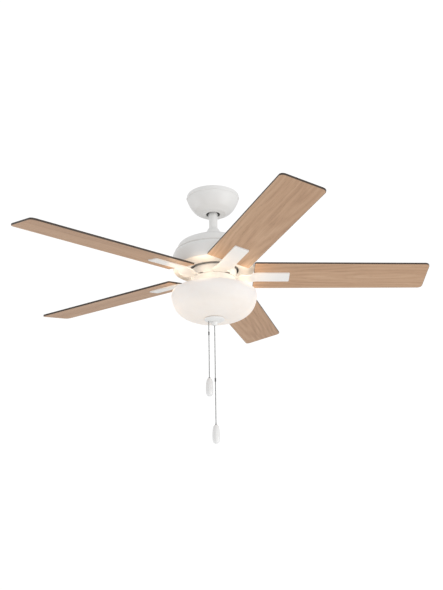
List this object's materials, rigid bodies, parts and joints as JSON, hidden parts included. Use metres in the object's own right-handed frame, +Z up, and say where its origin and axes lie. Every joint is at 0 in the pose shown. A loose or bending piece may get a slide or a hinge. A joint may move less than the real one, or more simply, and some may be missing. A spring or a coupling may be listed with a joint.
{
  "type": "ceiling fan with light",
  "caption": "Ceiling fan hung on a short downrod, with pitched wood blades, an opal glass bowl light and two bead pull chains.",
  "frame": {"origin": "on the fan's axis at the ceiling plane, centre of the hanger bracket's two slots", "axes": "+Z up into the ceiling, +X along the bracket bar and close to the first blade, -Y towards the viewer"},
  "size_m": [1.2415, 1.288, 0.796],
  "materials": {
    "white_enamel": "semi-gloss off-white enamel",
    "plated_steel": "zinc-plated steel",
    "chain_steel": "bright nickel-plated bead chain",
    "blade_veneer": "washed oak veneer with dark edges",
    "opal_glass": "opal white, matt",
    "black_nylon": "moulded black nylon",
    "copper_wire": "enamelled copper wire",
    "brass": "turned brass",
    "porcelain": "glazed porcelain",
    "lamp_envelope": "frosted lamp envelope",
    "fob_enamel": "gloss white",
    "rubber": "matt black",
    "grey_cast": "die-cast, satin",
    "white_cast": "die-cast, enamelled off-white",
    "lamination_steel": "stacked laminations"
  },
  "bodies": {
    "ceiling_mount": {"hanger_bracket": "plated_steel", "canopy": "white_enamel", "canopy_screws": "white_enamel"},
    "fan_body": {"hanger_ball": "black_nylon", "ball_pin": "plated_steel", "downrod": "white_enamel", "yoke": "grey_cast", "yoke_pin": "plated_steel", "yoke_pin_clip": "plated_steel", "yoke_set_screws": "plated_steel", "coupling_cover": "white_enamel", "housing_top": "white_enamel", "housing_band": "white_enamel", "housing_screws": "plated_steel", "motor_shaft": "plated_steel", "stator_core": "lamination_steel", "stator_windings": "copper_wire", "cup_plate": "plated_steel", "shaft_nut": "plated_steel", "switch_cup": "white_enamel", "cup_screws": "white_enamel", "capacitor": "black_nylon", "speed_switch": "black_nylon", "light_switch": "black_nylon", "reverse_switch": "black_nylon", "fitter_pan": "white_enamel", "lamp_holders": "porcelain", "bulbs": "lamp_envelope", "nipple": "brass", "nipple_nut": "brass", "glass_bowl": "opal_glass", "bowl_gasket": "rubber", "finial_cap": "white_enamel", "finial_knob": "white_enamel"},
    "rotor": {"rotor_top_shell": "grey_cast", "rotor_bottom_shell": "grey_cast", "rotor_cage": "lamination_steel", "rotor_bolts": "plated_steel", "upper_bearing": "plated_steel", "lower_bearing": "plated_steel", "flywheel": "white_cast", "arm_1": "white_enamel", "arm_2": "white_enamel", "arm_3": "white_enamel", "arm_4": "white_enamel", "arm_5": "white_enamel", "blade_1": "blade_veneer", "blade_2": "blade_veneer", "blade_3": "blade_veneer", "blade_4": "blade_veneer", "blade_5": "blade_veneer", "arm_screws": "plated_steel", "blade_screws": "plated_steel"},
    "speed_pull": {"speed_stem": "plated_steel", "speed_chain": "chain_steel", "speed_fob": "fob_enamel"},
    "light_pull": {"light_stem": "plated_steel", "light_chain": "chain_steel", "light_fob": "fob_enamel"},
    "reverse_slide": {"reverse_slider": "black_nylon"}
  },
  "joints": [
    {"name": "hang_tilt", "type": "hinge", "parent": "ceiling_mount", "child": "fan_body", "pos_m": [0, 0, -0.038], "axis": [1, 0, 0], "range_deg": [-10, 10]},
    {"name": "rotor_spin", "type": "hinge", "parent": "fan_body", "child": "rotor", "pos_m": [0, 0, -0.2], "axis": [0, 0, 1], "continuous": true},
    {"name": "speed_chain_pull", "type": "slide", "parent": "fan_body", "child": "speed_pull", "axis": [0, 0, -1], "range_m": [0, 0.01], "stiffness_N_per_m": 300},
    {"name": "light_chain_pull", "type": "slide", "parent": "fan_body", "child": "light_pull", "axis": [0, 0, -1], "range_m": [0, 0.01], "stiffness_N_per_m": 300},
    {"name": "reverse_switch_slide", "type": "slide", "parent": "fan_body", "child": "reverse_slide", "axis": [1, 0, 0], "range_m": [0, 0.006]}
  ]
}
